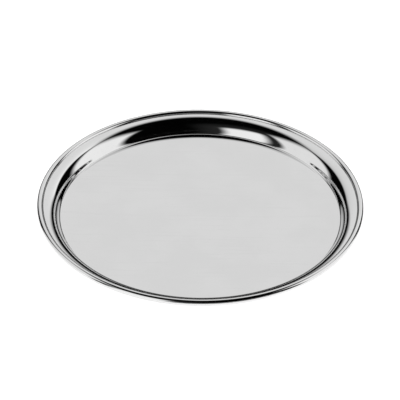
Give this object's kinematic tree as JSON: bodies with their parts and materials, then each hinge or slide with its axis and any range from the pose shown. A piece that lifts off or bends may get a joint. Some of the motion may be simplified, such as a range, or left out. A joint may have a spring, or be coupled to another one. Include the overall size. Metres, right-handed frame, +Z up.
{
  "type": "round serving tray",
  "caption": "Shallow round serving tray of mirror-polished steel with a flat base, flared wall, narrow flange and wired rolled rim, for carrying drinks and dishes.",
  "frame": {"origin": "middle of the underside of the flat base, on the table", "axes": "+Z up along the tray's axis of symmetry; X and Y lie in the table, and the picture looks along +Y"},
  "size_m": [0.356, 0.356, 0.0198],
  "materials": {
    "polished_sheet": "polished",
    "drawn_wire": "satin"
  },
  "bodies": {
    "root": {"tray_pan": "polished_sheet", "rim_wire": "drawn_wire"}
  },
  "joints": []
}
